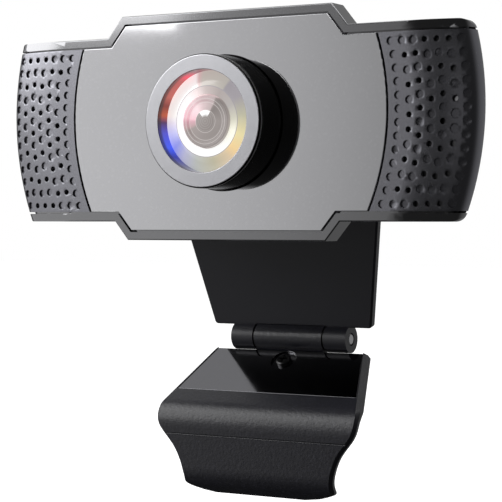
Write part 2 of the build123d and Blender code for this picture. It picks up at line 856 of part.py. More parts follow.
# clip_arm: the plate, the neck with the tilt knuckle, and the outer knuckles of the clip hinge
neck_root = arm_top - arm_corner
with BuildPart() as clip_arm:
    with BuildSketch(arm_plane.offset(arm_front - arm_thick)):
        add(arm_outline(0, arm_bottom, arm_top))
    extrude(amount=arm_thick)
    chamfer(clip_arm.faces().filter_by(arm_plane).sort_by(Axis.Y)[0].outer_wire().edges(), arm_bevel)
    with BuildSketch(hinge_side):
        Circle(knuckle_radius + knuckle_room)
    extrude(amount=knuckle_split + knuckle_gap, both=True, mode=Mode.SUBTRACT)
    with BuildSketch(arm_side):
        with BuildLine():
            Polyline(
                (neck_root, arm_front - arm_bevel),
                (arm_top, arm_front - arm_bevel),
                (tilt_along, arm_middle + tilt_knuckle),
                (tilt_along, arm_middle - tilt_knuckle),
                (arm_top, arm_front - arm_thick - cover_thick),
                (neck_root, arm_front - arm_thick),
                close=True,
            )
        make_face()
        with Locations((tilt_along, arm_middle)):
            Circle(tilt_knuckle)
    extrude(amount=tilt_knuckle_width / 2, both=True)
    with BuildSketch(
        arm_side.offset(knuckle_split + knuckle_gap),
        arm_side.offset(-knuckle_half),
    ):
        Circle(knuckle_radius)
        with Locations((arm_bottom / 2 + arm_bevel, arm_front - arm_thick / 2)):
            Rectangle(arm_bottom + 2 * arm_bevel, arm_thick)
    extrude(amount=knuckle_half - knuckle_split - knuckle_gap)
    with BuildSketch(tilt_side):
        Circle(tilt_pin_radius)
    extrude(amount=far, both=True, mode=Mode.SUBTRACT)
    with BuildSketch(hinge_side):
        Circle(hinge_pin_radius + running_gap)
    extrude(amount=far, both=True, mode=Mode.SUBTRACT)
    cover_screw_places = both_sides(arm_bottom_half / 2, arm_bottom + arm_bottom_half / 2)
    cover_screw_places += both_sides(arm_bottom_half, arm_top - arm_corner)
    with BuildSketch(arm_plane.offset(arm_front - arm_thick)):
        with Locations(*cover_screw_places):
            Circle(small_screw[0])
    extrude(amount=cover_screw_length - cover_thick + screw_room, mode=Mode.SUBTRACT)
save(clip_arm.part, "clip_arm")

# arm_cover: plate over the arm's back, notched for the neck
with BuildPart() as arm_cover:
    with BuildSketch(arm_plane.offset(arm_front - arm_thick)):
        add(arm_outline(cover_inset, arm_bottom + 2 * arm_bevel, arm_top - cover_inset))
        with Locations((0, arm_top)):
            Rectangle(
                tilt_knuckle_width + 2 * seam,
                2 * (arm_top - neck_root + seam),
                mode=Mode.SUBTRACT,
            )
    extrude(amount=-cover_thick)
    chamfer(arm_cover.faces().filter_by(arm_plane).sort_by(Axis.Y)[-1].outer_wire().edges(), arm_bevel / 2)
    with BuildSketch(arm_plane):
        with Locations(*cover_screw_places):
            Circle(small_screw[0] + screw_room / 2)
    extrude(amount=-far, mode=Mode.SUBTRACT)
save(arm_cover.part, "arm_cover")

cover_back = arm_plane.offset(arm_front - arm_thick - cover_thick)
cover_seat = Plane(origin=cover_back.origin, x_dir=(1, 0, 0), z_dir=(0, lean_cos, lean_sin))
with BuildPart() as arm_screws:
    add(screws(cover_seat, [(x, -y) for x, y in cover_screw_places], small_screw, cover_screw_length))
save(arm_screws.part, "arm_screws")


def leaf_path(shift):
    """The leaf's outer surface from its rear edge to the chin's end, moved inwards by shift.

    Returns its four lines.
    """
    top = Line((leaf_rear, leaf_top - shift), (leaf_rear - leaf_flat, leaf_top - shift))
    roll = JernArc(top @ 1, top % 1, roll_radius - shift, roll_turn)
    chin = Line(roll @ 1, roll @ 1 + (roll % 1) * chin_length)
    tip = JernArc(chin @ 1, chin % 1, chin_radius - shift, chin_turn)
    return top, roll, chin, tip


def leaf_sheet(outer, inner):
    """The leaf's section between two shifts from its outer surface."""
    with BuildSketch(Plane.XY) as sheet:
        with BuildLine():
            outer_lines = leaf_path(outer)
            inner_lines = leaf_path(inner)
            Line(outer_lines[0] @ 0, inner_lines[0] @ 0)
            Line(outer_lines[-1] @ 1, inner_lines[-1] @ 1)
        make_face()
    return sheet.sketch


rear_height = leaf_rear * slope_sin + leaf_top * slope_cos


def leaf_outline(inset):
    """The leaf's outline seen from the front, with each side moved inwards by inset."""
    rear_x = leaf_rear_half - inset
    shoulder_x = shoulder_half - inset
    with BuildSketch(Plane.XY) as outline:
        with BuildLine():
            Polyline(
                (0, rear_height + edge_round),
                (rear_x, rear_height + edge_round),
                (rear_x, rear_height),
            )
            Line((rear_x, rear_height), (shoulder_x - edge_round, shoulder_top))
            Spline(
                (shoulder_x - edge_round, shoulder_top),
                (shoulder_x, (shoulder_top + shoulder_low) / 2),
                (shoulder_x - edge_round, shoulder_low),
                (waist_half - inset, waist_drop),
                (chin_half - inset, chin_drop),
                (chin_flat - inset, chin_bottom),
                tangents=((shoulder_half - leaf_rear_half, shoulder_top - rear_height), (-1, -edge_round)),
            )
            Line((chin_flat - inset, chin_bottom), (0, chin_bottom))
            mirror(about=Plane.YZ)
        make_face()
    return outline.sketch


def leaf_block(inset):
    """The prism of the leaf's front outline, with each side moved inwards by inset."""
    with BuildPart() as block:
        with BuildSketch(front):
            add(leaf_outline(inset))
        extrude(amount=far, both=True)
    return block.part


recess_along = leaf_rear - recess_from_rear

# clip_leaf: the bent sheet and the middle knuckle
with BuildPart() as inlay_pocket:
    with BuildSketch(rest.offset(leaf_top)):
        with Locations((0, leaf_rear - inlay_length / 2)):
            Rectangle(2 * shoulder_half, inlay_length)
    extrude(amount=-inlay_thick - inlay_drop)
    add(leaf_block(border), mode=Mode.INTERSECT)

with BuildLine(side) as outer_line:
    outer_lines = leaf_path(0)
    crease = outer_lines[2] @ (crease_place / chin_length)

with BuildPart() as clip_leaf:
    with BuildSketch(side):
        add(leaf_sheet(0, leaf_thick))
    extrude(amount=far, both=True)
    add(leaf_block(0), mode=Mode.INTERSECT)
    side_edges = [edge for edge in clip_leaf.edges() if abs((edge @ 0.5).X) > near]
    for_bevel = []
    for edge in side_edges:
        middle = edge @ 0.5
        if outer_line.line.distance_to(Vertex(0, middle.Y, middle.Z)) < near:
            for_bevel.append(edge)
    chamfer(for_bevel, leaf_bevel)
    with BuildSketch(side):
        with Locations(side.to_local_coords(crease)):
            Circle(crease_size / 2)
    extrude(amount=far, both=True, mode=Mode.SUBTRACT)
    add(inlay_pocket.part, mode=Mode.SUBTRACT)
    with BuildSketch(side):
        with Locations((hinge_back, hinge_up)):
            Circle(knuckle_radius)
        web_start = leaf_rear - 2 * border
        with Locations(((web_start + hinge_back) / 2, pad_thick + leaf_thick / 2)):
            Rectangle(hinge_back - web_start, leaf_thick)
    extrude(amount=knuckle_split, both=True)
    add(inlay_pocket.part, mode=Mode.SUBTRACT)
    with BuildSketch(hinge_side):
        Circle(hinge_pin_radius)
    extrude(amount=far, both=True, mode=Mode.SUBTRACT)
    with BuildSketch(rest.offset(leaf_top)):
        with Locations((0, recess_along)):
            Circle(small_screw[0])
    extrude(amount=-far, mode=Mode.SUBTRACT)
save(clip_leaf.part, "clip_leaf")

# leaf_top_plate: glossy inlay with a round recess for its screw
with BuildPart() as leaf_top_plate:
    with BuildSketch(rest.offset(leaf_top - inlay_drop)):
        with Locations((0, leaf_rear - inlay_length / 2)):
            Rectangle(2 * shoulder_half, inlay_length - 2 * inlay_gap)
    extrude(amount=-inlay_thick)
    add(leaf_block(border + inlay_gap), mode=Mode.INTERSECT)
    with BuildSketch(rest.offset(leaf_top)):
        with Locations((0, recess_along)):
            Circle(recess_radius)
    extrude(amount=-recess_depth - inlay_drop, mode=Mode.SUBTRACT)
    with BuildSketch(rest.offset(leaf_top)):
        with Locations((0, recess_along)):
            Circle(small_screw[0])
    extrude(amount=-far, mode=Mode.SUBTRACT)
save(leaf_top_plate.part, "leaf_top_plate")

# leaf_screw: holds the inlay, its head in the recess
recess_floor = rest.offset(leaf_top - inlay_drop - recess_depth)
with BuildPart() as leaf_screw:
    add(screws(recess_floor, [(0, recess_along)], small_screw, leaf_screw_length))
save(leaf_screw.part, "leaf_screw")

# rest_pad and chin_pad: rubber, where the clip touches a screen
with BuildPart() as rest_pad:
    with BuildSketch(rest):
        RectangleRounded(2 * pad_half_width, 2 * (leaf_rear - border), pad_thick)
    extrude(amount=pad_thick)
    with BuildSketch(rest):
        with GridLocations(0, 2 * leaf_rear / pad_grooves, 1, pad_grooves):
            Rectangle(2 * (pad_half_width - pad_thick), pad_thick)
    extrude(amount=pad_thick / 2, mode=Mode.SUBTRACT)
save(rest_pad.part, "rest_pad")

with BuildPart() as chin_pad:
    with BuildSketch(side):
        add(leaf_sheet(leaf_thick, leaf_thick + pad_thick))
    extrude(amount=chin_pad_half_width, both=True)
    with BuildSketch(front):
        with Locations((0, chin_drop + chin_length / 2)):
            Rectangle(2 * chin_pad_half_width, chin_length - 2 * border)
    extrude(amount=far, both=True, mode=Mode.INTERSECT)
save(chin_pad.part, "chin_pad")

# hinge_pin: tight in the leaf, free in the arm; washers stand between the knuckles
with BuildPart() as hinge_pin:
    with BuildSketch(hinge_side):
        Circle(hinge_pin_radius)
    extrude(amount=knuckle_half, both=True)
    chamfer(hinge_pin.faces().filter_by(Axis.X).edges(), pin_dome)
save(hinge_pin.part, "hinge_pin")

with BuildPart() as hinge_washers:
    with BuildSketch(hinge_side.offset(knuckle_split), hinge_side.offset(-knuckle_split - washer_thick)):
        Circle(knuckle_radius - edge_round)
        Circle(hinge_pin_radius, mode=Mode.SUBTRACT)
    extrude(amount=washer_thick)
save(hinge_washers.part, "hinge_washers")
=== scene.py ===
import json
import math

import bmesh
import bpy
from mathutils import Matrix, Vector

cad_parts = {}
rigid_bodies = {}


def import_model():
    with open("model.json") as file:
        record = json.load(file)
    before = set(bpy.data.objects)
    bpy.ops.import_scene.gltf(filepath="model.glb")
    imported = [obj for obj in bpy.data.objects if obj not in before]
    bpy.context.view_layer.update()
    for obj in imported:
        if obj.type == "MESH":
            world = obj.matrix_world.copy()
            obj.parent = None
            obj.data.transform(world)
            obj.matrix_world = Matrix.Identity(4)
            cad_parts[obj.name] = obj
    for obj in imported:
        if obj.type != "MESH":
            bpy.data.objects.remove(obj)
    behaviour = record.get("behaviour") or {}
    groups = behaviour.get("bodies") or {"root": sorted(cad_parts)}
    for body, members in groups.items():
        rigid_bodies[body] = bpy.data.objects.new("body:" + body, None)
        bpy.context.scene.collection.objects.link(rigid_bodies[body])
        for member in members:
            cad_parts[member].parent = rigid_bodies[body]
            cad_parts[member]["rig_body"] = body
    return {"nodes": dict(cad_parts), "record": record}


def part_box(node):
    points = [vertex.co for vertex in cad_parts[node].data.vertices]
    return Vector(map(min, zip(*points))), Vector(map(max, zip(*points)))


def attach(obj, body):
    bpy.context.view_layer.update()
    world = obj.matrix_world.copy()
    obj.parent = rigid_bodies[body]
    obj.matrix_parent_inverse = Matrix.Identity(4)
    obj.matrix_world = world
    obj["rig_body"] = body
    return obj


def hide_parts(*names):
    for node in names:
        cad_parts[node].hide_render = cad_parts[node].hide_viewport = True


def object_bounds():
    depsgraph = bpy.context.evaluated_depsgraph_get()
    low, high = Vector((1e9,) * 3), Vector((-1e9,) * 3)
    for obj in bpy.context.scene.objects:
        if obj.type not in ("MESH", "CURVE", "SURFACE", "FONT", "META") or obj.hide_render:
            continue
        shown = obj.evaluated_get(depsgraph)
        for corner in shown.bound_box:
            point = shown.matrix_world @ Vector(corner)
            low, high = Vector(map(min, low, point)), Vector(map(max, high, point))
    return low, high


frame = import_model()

cadBounds = [list(corner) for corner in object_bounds()]
nodes = frame["nodes"]
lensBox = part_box("lens_barrel")
lensX = (lensBox[0].x + lensBox[1].x) / 2
lensZ = (lensBox[0].z + lensBox[1].z) / 2
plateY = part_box("front_plate")[0].y
print("frame loaded", len(nodes), "nodes")


class Flow:
    # one shader socket; sums on it add Math nodes
    def __init__(self, graph, socket):
        self.graph = graph
        self.socket = socket

    def math(self, operation, first, second=0.0):
        return self.graph.node("ShaderNodeMath", {"operation": operation}, {0: first, 1: second})

    def __add__(self, other):
        return self.math("ADD", self, other)

    def __radd__(self, other):
        return self.math("ADD", other, self)

    def __sub__(self, other):
        return self.math("SUBTRACT", self, other)

    def __rsub__(self, other):
        return self.math("SUBTRACT", other, self)

    def __mul__(self, other):
        return self.math("MULTIPLY", self, other)

    def __rmul__(self, other):
        return self.math("MULTIPLY", other, self)

    def __truediv__(self, other):
        return self.math("DIVIDE", self, other)

    def clamp(self, low, high):
        return self.math("MINIMUM", self.math("MAXIMUM", self, low), high)

    def step(self, start, end):
        # 0 before start, 1 after end, smooth between
        settings = {"interpolation_type": "SMOOTHSTEP"}
        return self.graph.node("ShaderNodeMapRange", settings, {"Value": self, 1: start, 2: end})


class Graph:
    # a node tree; node() adds any node with its settings and the values or links of its sockets
    def __init__(self, tree):
        self.tree = tree

    def fill(self, socket, value):
        if isinstance(value, Flow):
            self.tree.links.new(value.socket, socket)
        elif isinstance(value, (tuple, list)) and socket.type == "RGBA" and len(value) == 3:
            socket.default_value = (*value, 1.0)
        else:
            socket.default_value = value

    def node(self, kind, settings=None, values=None, out=0):
        made = self.tree.nodes.new(kind)
        for key, value in (settings or {}).items():
            if key == "stops":
                ramp = made.color_ramp
                while len(ramp.elements) < len(value):
                    ramp.elements.new(0.5)
                for element, (position, colour) in zip(ramp.elements, value):
                    element.position = position
                    element.color = (*colour, 1.0)
            else:
                setattr(made, key, value)
        for key, value in (values or {}).items():
            self.fill(made.inputs[key], value)
        return Flow(self, made.outputs[out])


class Finish(Graph):
    # one procedural material; shade() fills the surface
    def __init__(self, name):
        self.material = bpy.data.materials.new(name)
        self.material.use_nodes = True
        super().__init__(self.material.node_tree)
        self.shader = self.tree.nodes["Principled BSDF"]
        self.place = self.node("ShaderNodeTexCoord", out="Object")

    def mix(self, factor, first, second, blend="MIX"):
        made = self.tree.nodes.new("ShaderNodeMix")
        made.data_type = "RGBA"
        made.blend_type = blend
        self.fill(made.inputs["Factor"], factor)
        self.fill(made.inputs[6], first)
        self.fill(made.inputs[7], second)
        return Flow(self, made.outputs[2])

    def axes(self):
        split = self.tree.nodes.new("ShaderNodeSeparateXYZ")
        self.tree.links.new(self.place.socket, split.inputs[0])
        return [Flow(self, output) for output in split.outputs]

    def noise(self, scale, detail=4.0, rough=0.55, stretch=(1, 1, 1)):
        spot = self.node("ShaderNodeMapping", values={"Vector": self.place, "Scale": stretch})
        return self.node("ShaderNodeTexNoise", values={
            "Vector": spot, "Scale": scale, "Detail": detail, "Roughness": rough})

    def polar(self):
        # distance from the lens axis in metres, and the turn about it: 0 and 1 left, 0.5 right, 0.75 up
        axes = self.axes()
        across = axes[0] - lensX
        up = axes[2] - lensZ
        radius = across.math("SQRT", across * across + up * up)
        turn = up.math("ARCTAN2", up, across) / (2 * math.pi) + 0.5
        return radius, turn

    def wheel(self, turn, stops):
        # painted reflection colours about the lens axis, given in degrees from the right, counted upwards
        places = [((degrees + 180) / 360, screen(*colour)) for degrees, colour in stops]
        return self.node("ShaderNodeValToRGB", {"stops": places}, {0: turn})

    def specks(self, scale):
        return self.node("ShaderNodeTexVoronoi", values={"Vector": self.place, "Scale": scale}, out=1)

    def bump(self, height, distance, strength):
        values = {"Height": height, "Distance": distance, "Strength": strength}
        return self.node("ShaderNodeBump", values=values)

    def shade(self, **values):
        for name, value in values.items():
            label = "".join(" " + c if c.isupper() else c for c in name).strip()
            label = label[0].upper() + label[1:]
            self.fill(self.shader.inputs[label.replace("Ior", "IOR")], value)
        return self.material


def grey(level, tint=0.0):
    # a grey with a slight lean to blue
    return (level, level, level * (1 + tint))


def screen(red, green, blue):
    # display values to linear light
    return (red ** 2.2, green ** 2.2, blue ** 2.2)


# Plastics share one recipe: a base tone with slow clouds, fine moulded grain and faint scuffs, and where
# asked light specks that are painted glints
def plastic(name, tone, rough, grain=1400.0, depth=0.00002, cloud=0.06, coat=0.0, coatRough=0.1,
            tint=0.05, scuff=0.05, speck=0.0, ior=1.48):
    finish = Finish(name)
    clouds = finish.noise(scale=28.0, detail=3.0)
    grainField = finish.noise(scale=grain, detail=2.0, rough=0.6)
    scratches = finish.noise(scale=240.0, detail=6.0, rough=0.7, stretch=(1.0, 1.0, 9.0)).step(0.62, 0.78)
    lift = 1.0 - cloud + 2 * cloud * clouds
    dark = grey(tone * 0.72, tint)
    light = grey(tone * 1.28, tint)
    colour = finish.mix(clouds.step(0.25, 0.75), dark, light)
    colour = finish.mix(cloud * 4.0, grey(tone, tint), colour)
    # light specks painted into the base colour as glints
    if speck:
        glitter = finish.specks(3200.0)
        glintMask = finish.node("ShaderNodeSeparateColor", values={0: glitter}).step(0.72, 1.0)
        colour = finish.mix(glintMask * speck, colour, grey(min(tone * 3.2, 0.8), tint))
    roughness = (rough * lift + scratches * scuff + (grainField - 0.5) * 0.08).clamp(0.02, 0.95)
    normal = finish.bump(grainField, distance=depth, strength=0.5)
    return finish.shade(baseColor=colour, roughness=roughness, coatWeight=coat,
                        coatRoughness=coatRough, ior=ior, normal=normal)


def metal(name, tone, rough, brushed=(1, 1, 1), tint=0.02):
    finish = Finish(name)
    brushing = finish.noise(scale=900.0, detail=5.0, rough=0.6, stretch=brushed)
    clouds = finish.noise(scale=60.0, detail=3.0)
    colour = finish.mix(brushing, grey(tone * 0.8, tint), grey(min(tone * 1.15, 1.0), tint))
    roughness = (rough + (clouds - 0.5) * 0.2 + (brushing - 0.5) * 0.15).clamp(0.05, 0.9)
    normal = finish.bump(brushing, distance=0.00002, strength=0.4)
    return finish.shade(baseColor=colour, metallic=1.0, roughness=roughness, normal=normal)


def lacquer(name, tone, rough, flake=0.05, tint=0.03, depth=0.000002):
    # a mirror-smooth paint over metal: it takes its tone from what stands in front of it
    finish = Finish(name)
    clouds = finish.noise(scale=22.0, detail=3.0)
    orangePeel = finish.noise(scale=500.0, detail=2.0, rough=0.5)
    glitter = finish.node("ShaderNodeSeparateColor", values={0: finish.specks(2600.0)})
    colour = finish.mix(clouds, grey(tone * 0.95, tint), grey(tone * 1.05, tint))
    colour = finish.mix(glitter.step(0.8, 1.0) * flake, colour, grey(min(tone * 1.6, 0.95), tint))
    roughness = rough + (clouds - 0.5) * 0.03
    roughness = roughness + finish.noise(scale=300.0, detail=5.0, rough=0.7).step(0.66, 0.8) * 0.04
    normal = finish.bump(orangePeel, distance=depth, strength=0.3)
    return finish.shade(baseColor=colour, metallic=1.0, roughness=roughness.clamp(0.02, 0.9), normal=normal)


# Painted reflections that the dished trim, the ring's bore and the front glass show, as display colours by
# direction about the lens axis; glow is how much of them is given off as light, body how much is left as
# the base colour
paintedReflections = {
    "flank": [
        (-180, (0.95, 0.92, 0.97)), (-163, (0.8, 0.8, 0.97)), (-148, (0.6, 0.62, 0.9)),
        (-130, (0.73, 0.73, 0.83)), (-108, (0.72, 0.73, 0.71)), (-80, (0.74, 0.72, 0.63)),
        (-56, (0.86, 0.78, 0.66)), (-42, (0.97, 0.84, 0.62)), (-20, (0.93, 0.88, 0.68)),
        (8, (0.75, 0.74, 0.65)), (34, (0.65, 0.63, 0.65)), (57, (0.63, 0.61, 0.63)),
        (60, (0.72, 0.7, 0.67)), (98, (0.78, 0.75, 0.72)), (104, (0.86, 0.74, 0.74)),
        (109, (0.99, 0.97, 0.97)), (172, (1.0, 0.99, 0.98)), (180, (0.95, 0.92, 0.97)),
    ],
    "rim": [
        (-180, (0.99, 0.98, 0.99)), (-60, (1.0, 1.0, 0.99)), (-18, (0.98, 0.97, 0.9)),
        (4, (0.8, 0.79, 0.72)), (30, (0.68, 0.66, 0.65)), (62, (0.66, 0.62, 0.61)),
        (92, (0.78, 0.73, 0.72)), (112, (0.97, 0.9, 0.9)), (130, (1.0, 0.98, 0.98)),
        (180, (0.99, 0.98, 0.99)),
    ],
    "bore": [
        (-180, (0.24, 0.12, 0.3)), (-168, (0.26, 0.26, 0.66)), (-150, (0.22, 0.32, 0.8)),
        (-137, (0.1, 0.14, 0.5)), (-118, (0.3, 0.3, 0.38)), (-95, (0.5, 0.5, 0.53)),
        (60, (0.5, 0.5, 0.53)), (88, (0.42, 0.28, 0.32)), (106, (0.4, 0.16, 0.22)),
        (119, (0.78, 0.08, 0.24)), (127, (0.6, 0.22, 0.22)), (150, (0.62, 0.3, 0.26)),
        (161, (0.42, 0.12, 0.08)), (172, (0.62, 0.26, 0.12)), (180, (0.24, 0.12, 0.3)),
    ],
    "glass": [
        (-180, (0.8, 0.62, 0.66)), (-165, (0.72, 0.6, 0.61)), (-155, (0.6, 0.56, 0.55)),
        (-100, (0.58, 0.55, 0.54)), (0, (0.6, 0.57, 0.56)), (52, (0.5, 0.47, 0.46)),
        (60, (0.54, 0.5, 0.49)), (64, (0.72, 0.66, 0.66)), (100, (0.78, 0.68, 0.69)),
        (130, (0.92, 0.8, 0.82)), (170, (0.93, 0.74, 0.78)), (180, (0.8, 0.62, 0.66)),
    ],
    "glow": 0.82, "body": 0.42,
}

# the dished trim; radii in metres, a thin painted dark line of groove shade just outside the rim's start
coneLook = {
    "rimStart": 0.0064, "rimEnd": 0.00655, "grooveOffset": 0.00006, "groove": (0.00003, 0.00009),
    "grooveShadeColour": (0.62, 0.6, 0.62), "rough": 0.16, "roughSpread": 0.08, "coat": 0.3,
}


def conePaint(name):
    finish = Finish(name)
    radius, turn = finish.polar()
    # the trim's colours are painted reflections, given off as a glow as well as kept in the base colour
    flank = finish.wheel(turn, paintedReflections["flank"])
    rim = finish.wheel(turn, paintedReflections["rim"])
    edge = radius.step(coneLook["rimStart"], coneLook["rimEnd"])
    colour = finish.mix(edge, rim, flank)
    # a thin dark ring of painted groove shade laid over the painted reflections
    away = radius - coneLook["rimStart"] - coneLook["grooveOffset"]
    groove = away.math("ABSOLUTE", away).step(*coneLook["groove"])
    colour = finish.mix(groove, screen(*coneLook["grooveShadeColour"]), colour)
    polish = finish.noise(scale=900.0, detail=3.0)
    normal = finish.bump(polish, distance=0.000002, strength=0.3)
    body = finish.mix(paintedReflections["body"], (0, 0, 0), colour)
    roughness = coneLook["rough"] + coneLook["roughSpread"] * polish
    return finish.shade(baseColor=body, roughness=roughness, coatWeight=coneLook["coat"],
                        emissionColor=colour, emissionStrength=paintedReflections["glow"], normal=normal)


# the focus ring; radii and depths behind its front in metres, tones from 0 to 1
ringLook = {
    # black is painted shade of the gap at the ring's side, silver the painted highlight line behind it
    "boreEnd": 0.0094, "face": 0.01194, "radiusBlur": 0.00003, "gapShadeDepth": 0.00034, "lineBlur": 0.00002,
    "black": 0.01, "silver": 0.9, "satin": 0.43, "satinDark": 0.93, "satinLight": 1.06, "tint": 0.05,
    "shadeStart": 0.0006, "shadeLength": 0.0009, "shadeColour": (0.55, 0.5, 0.52),
    "rough": 0.26, "roughSpread": 0.08, "boreGloss": 0.4,
}


def ringPaint(name):
    # satin metal face; on its side a painted black line of gap shade with a painted highlight line behind
    # it; in the bore painted shade that deepens inward times painted reflection colours, which are also
    # given off as a glow
    finish = Finish(name)
    radius, turn = finish.polar()
    y = finish.axes()[1]
    inside = 1.0 - radius.step(ringLook["boreEnd"], ringLook["boreEnd"] + ringLook["radiusBlur"])
    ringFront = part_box("focus_ring")[0].y
    # painted shade in the bore, darker with depth, multiplied by the painted reflection colours and given
    # off as a glow
    depth = (y - ringFront - ringLook["shadeStart"]).step(0.0, ringLook["shadeLength"])
    bore = finish.mix(depth, screen(*ringLook["shadeColour"]), (1, 1, 1))
    bore = finish.mix(1.0, bore, finish.wheel(turn, paintedReflections["bore"]), "MULTIPLY")
    spun = finish.noise(scale=700.0, detail=4.0, rough=0.6)
    satinDark = grey(ringLook["satin"] * ringLook["satinDark"], ringLook["tint"])
    satinLight = grey(ringLook["satin"] * ringLook["satinLight"], ringLook["tint"])
    satin = finish.mix(spun, satinDark, satinLight)
    # the side: painted gap shade at the front, a painted highlight line behind it
    side = radius.step(ringLook["face"], ringLook["face"] + ringLook["radiusBlur"])
    behind = (y - ringFront).step(ringLook["gapShadeDepth"], ringLook["gapShadeDepth"] + ringLook["lineBlur"])
    sideShadeAndHighlight = finish.mix(behind, grey(ringLook["black"]), grey(ringLook["silver"]))
    colour = finish.mix(inside, finish.mix(side, satin, sideShadeAndHighlight), bore)
    roughness = ringLook["rough"] + ringLook["roughSpread"] * spun
    roughness = roughness * (1.0 - ringLook["boreGloss"] * inside)
    normal = finish.bump(spun, distance=0.000006, strength=0.3)
    given = finish.mix(inside, (0, 0, 0), bore)
    return finish.shade(baseColor=colour, metallic=(1.0 - inside), roughness=roughness, normal=normal,
                        emissionColor=given, emissionStrength=paintedReflections["glow"])


# the glass; radii in metres, painted reflection rings and lines with where they are full and where they
# end, and the pale fan of painted highlight over the pupil in turns from the left by way of the right
glassLook = {
    "pupil": 0.002, "pupilBlur": 0.02, "pupilColour": (0.55, 0.52, 0.51),
    "wavePitch": 0.00042, "waveAmount": 0.35, "waveColour": (0.7, 0.68, 0.67),
    "firstLine": 1.03, "lines": (0.00345, 0.00412), "lineWidth": (0.00003, 0.00008), "lineAmount": 0.5,
    "lineColour": (0.86, 0.84, 0.83),
    "fanFrom": (0.655, 0.675), "fanTo": (0.845, 0.865), "fanRadii": (0.0007, 0.0015),
    "rough": 0.3, "roughSpread": 0.1, "coat": 0.2,
}


def glassPaintedReflections(name):
    # the front glass with painted reflections in its coating's colours, painted reflection rings and lines,
    # a painted highlight fan and the pupil behind it, all also given off as a glow
    finish = Finish(name)
    radius, turn = finish.polar()
    colour = finish.wheel(turn, paintedReflections["glass"])
    pupil = glassLook["pupil"]
    blur = glassLook["pupilBlur"]
    inner = 1.0 - radius.step(pupil * (1 - blur), pupil * (1 + blur))
    colour = finish.mix(inner, colour, screen(*glassLook["pupilColour"]))
    phase = radius * (2 * math.pi / glassLook["wavePitch"])
    waves = phase.math("SINE", phase).step(0.2, 1.0)
    colour = finish.mix(inner * waves * glassLook["waveAmount"], colour, screen(*glassLook["waveColour"]))
    for line in (pupil * glassLook["firstLine"], *glassLook["lines"]):
        away = radius.math("ABSOLUTE", radius - line).step(*glassLook["lineWidth"])
        shown = (1.0 - away) * glassLook["lineAmount"]
        colour = finish.mix(shown, colour, screen(*glassLook["lineColour"]))
    # a pale fan of painted highlight over the pupil
    highlightFan = turn.step(*glassLook["fanFrom"]) * (1.0 - turn.step(*glassLook["fanTo"])) * inner
    highlightFan = highlightFan * radius.step(*glassLook["fanRadii"])
    colour = finish.mix(highlightFan, colour, (1, 1, 1))
    smear = finish.noise(scale=120.0, detail=3.0)
    normal = finish.bump(smear, distance=0.000001, strength=0.2)
    body = finish.mix(paintedReflections["body"], (0, 0, 0), colour)
    roughness = glassLook["rough"] + glassLook["roughSpread"] * smear
    return finish.shade(baseColor=body, roughness=roughness, coatWeight=glassLook["coat"],
                        emissionColor=colour, emissionStrength=paintedReflections["glow"], normal=normal)


def rubber(name, tone=0.02):
    finish = Finish(name)
    grainField = finish.noise(scale=2600.0, detail=3.0, rough=0.7)
    clouds = finish.noise(scale=40.0, detail=3.0)
    colour = finish.mix(clouds, grey(tone * 0.7), grey(tone * 1.5))
    normal = finish.bump(grainField, distance=0.00004, strength=0.8)
    return finish.shade(baseColor=colour, roughness=(0.72 + 0.15 * clouds), ior=1.5, normal=normal)


def board(name):
    finish = Finish(name)
    tracks = finish.node("ShaderNodeTexBrick", {"offset": 0.5}, {
        "Vector": finish.place, "Scale": 260.0, "Mortar Size": 0.06,
        "Color1": (0, 0, 0, 1), "Color2": (0.3, 0.3, 0.3, 1), "Mortar": (1, 1, 1, 1)})
    lines = finish.node("ShaderNodeSeparateColor", values={0: tracks})
    colour = finish.mix(lines.step(0.4, 0.9), (0.006, 0.05, 0.03), (0.02, 0.11, 0.06))
    normal = finish.bump(lines, distance=0.00003, strength=0.6)
    return finish.shade(baseColor=colour, roughness=(0.3 + 0.1 * finish.noise(scale=300.0)), normal=normal)


def clearGlass(name):
    finish = Finish(name)
    smear = finish.noise(scale=90.0, detail=4.0)
    finish.shader.inputs["Transmission Weight"].default_value = 1.0
    return finish.shade(baseColor=(0.93, 0.95, 0.97), roughness=(smear * 0.03), ior=1.45)


finishes = {
    "frame_grey": lacquer("frameGrey", tone=0.2, rough=0.1),
    "plate_grey": lacquer("plateGrey", tone=0.48, rough=0.05),
    "grille_grey": lacquer("grilleGrey", tone=0.2, rough=0.27, tint=0.1),
    "mesh_black": rubber("meshBlack", tone=0.006),
    "mic_metal": metal("micMetal", tone=0.6, rough=0.35),
    "soft_black": rubber("softBlack"),
    "barrel_black": plastic("barrelBlack", tone=0.0012, rough=0.2, grain=900.0, coat=0.25, coatRough=0.05,
                            scuff=0.02, ior=1.3),
    "ring_grey": ringPaint("ringGrey"),
    "cone_pale": conePaint("conePale"),
    "lens_black": plastic("lensBlack", tone=0.02, rough=0.35),
    "lens_glass": clearGlass("lensGlass"),
    "board_green": board("boardGreen"),
    "chip_black": plastic("chipBlack", tone=0.02, rough=0.45),
    "plug_white": plastic("plugWhite", tone=0.6, rough=0.4),
    "housing_dark": plastic("housingDark", tone=0.022, rough=0.42, grain=1800.0, depth=0.00004),
    "bracket_dark": plastic("bracketDark", tone=0.02, rough=0.35),
    "screw_steel": metal("screwSteel", tone=0.35, rough=0.35),
    "pin_steel": metal("pinSteel", tone=0.45, rough=0.3, brushed=(0.1, 1, 1)),
    "arm_dark": plastic("armDark", tone=0.014, rough=0.4, grain=2000.0, tint=0.45),
    "cover_dark": plastic("coverDark", tone=0.014, rough=0.5),
    # the leaf's specks are painted glints
    "leaf_dark": plastic("leafDark", tone=0.013, rough=0.33, grain=1500.0, depth=0.00008, speck=0.28,
                         tint=0.4),
    "inlay_black": lacquer("inlayBlack", tone=0.16, rough=0.08, tint=0.06),
}
